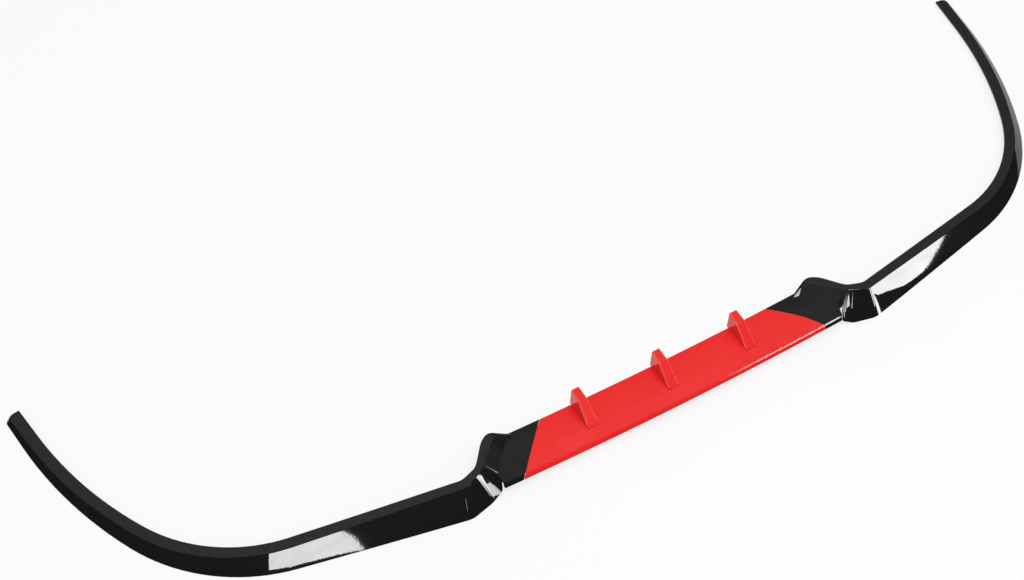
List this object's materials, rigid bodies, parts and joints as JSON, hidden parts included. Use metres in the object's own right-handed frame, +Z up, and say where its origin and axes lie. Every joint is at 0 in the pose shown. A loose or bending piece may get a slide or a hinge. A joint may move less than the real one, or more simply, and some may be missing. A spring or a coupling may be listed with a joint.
{
  "type": "front splitter lip",
  "caption": "Front bumper splitter lip: two gloss black side arms sweep back from a red centre section with upright fins, joined by screws underneath.",
  "frame": {"origin": "centre of the part's outline seen from above, on the floor that its bottom edge lies on", "axes": "+X across the car, to the right as seen from the front; +Y towards the car's rear; +Z up"},
  "size_m": [1.6682, 0.4624, 0.0615],
  "materials": {
    "red_plastic": "smooth satin-gloss red moulding",
    "black_plastic_left": "gloss black outer face, satin top flange",
    "black_plastic_right": "gloss black outer face, satin top flange",
    "black_screws": "black oxide"
  },
  "bodies": {
    "root": {"centre_section": "red_plastic", "left_arm": "black_plastic_left", "right_arm": "black_plastic_right", "section_screws": "black_screws"}
  },
  "joints": []
}
